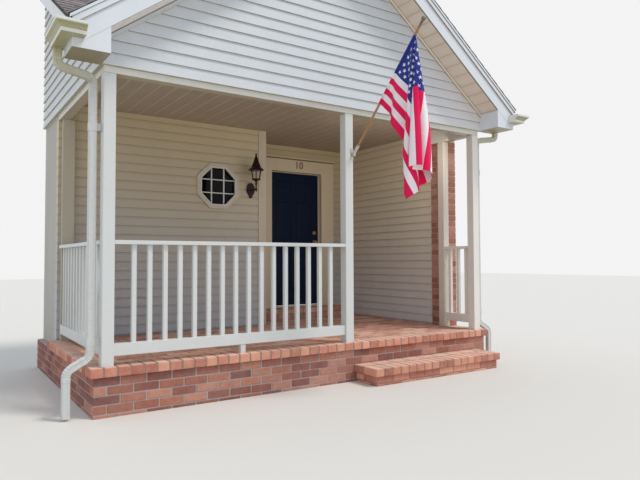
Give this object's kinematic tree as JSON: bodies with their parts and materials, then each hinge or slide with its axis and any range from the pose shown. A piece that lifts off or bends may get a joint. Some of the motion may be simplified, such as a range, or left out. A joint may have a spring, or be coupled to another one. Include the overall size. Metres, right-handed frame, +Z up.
{
  "type": "house front porch",
  "caption": "Gabled front porch with square posts, slatted railings, brick floor and step, recessed entry door, octagonal window, wall lantern and a flag on a slanted pole.",
  "frame": {"origin": "ground level, midway between the outer posts, on the line of the post centres", "axes": "+X to the right along the front, +Y back to the house, +Z up"},
  "size_m": [5.274, 3.9191, 4.9387],
  "materials": {
    "brick": "matt red brick with light mortar",
    "floor_brick": "matt salmon brick",
    "white_wrap": "white vinyl, satin",
    "siding": "off-white vinyl siding",
    "tan_boards": "tan vinyl boards",
    "cream_trim": "cream trim, satin",
    "metal_trim": "cream painted sheet metal",
    "shingles": "dark mineral shingles",
    "door_paint": "navy, satin",
    "brass_parts": "satin",
    "dark_iron": "dark bronze paint",
    "clear_glass": "clear",
    "cast_alloy": "satin",
    "pole_wood": "varnished",
    "flag_cloth": "light woven cloth, striped"
  },
  "bodies": {
    "porch": {"base_block": "brick", "floor_paving": "floor_brick", "floor_edge": "floor_brick", "lower_step": "floor_brick", "door_step": "floor_brick", "front_posts": "white_wrap", "wall_posts": "white_wrap", "front_railing": "white_wrap", "side_railings": "white_wrap", "front_beam": "white_wrap", "side_beams": "white_wrap", "ceiling": "tan_boards", "window_wall": "siding", "return_wall": "siding", "door_wall_left": "siding", "door_wall_right": "siding", "door_wall_head": "siding", "side_wall": "siding", "brick_corner": "brick", "house_wall": "siding", "corner_board": "cream_trim", "gable_wall": "siding", "upper_side_walls": "siding", "gable_roof_left": "shingles", "gable_roof_right": "shingles", "house_roof": "shingles", "rake_boards": "metal_trim", "rake_soffit": "tan_boards", "eave_returns": "metal_trim", "side_eaves": "metal_trim", "gutters": "metal_trim", "downspouts": "metal_trim", "window_frame": "cream_trim", "window_glass": "clear_glass", "door_frame": "cream_trim", "door_hinges": "brass_parts", "lantern_body": "dark_iron", "lantern_glass": "clear_glass", "flag_bracket": "cast_alloy", "flag_pole": "pole_wood", "flag": "flag_cloth"},
    "door": {"door_leaf": "door_paint", "door_knobs": "brass_parts"}
  },
  "joints": [
    {"name": "door_swing", "type": "hinge", "parent": "porch", "child": "door", "pos_m": [0.8025, 2.733, 1.562], "axis": [0, 0, 1], "range_deg": [0, 110]}
  ]
}
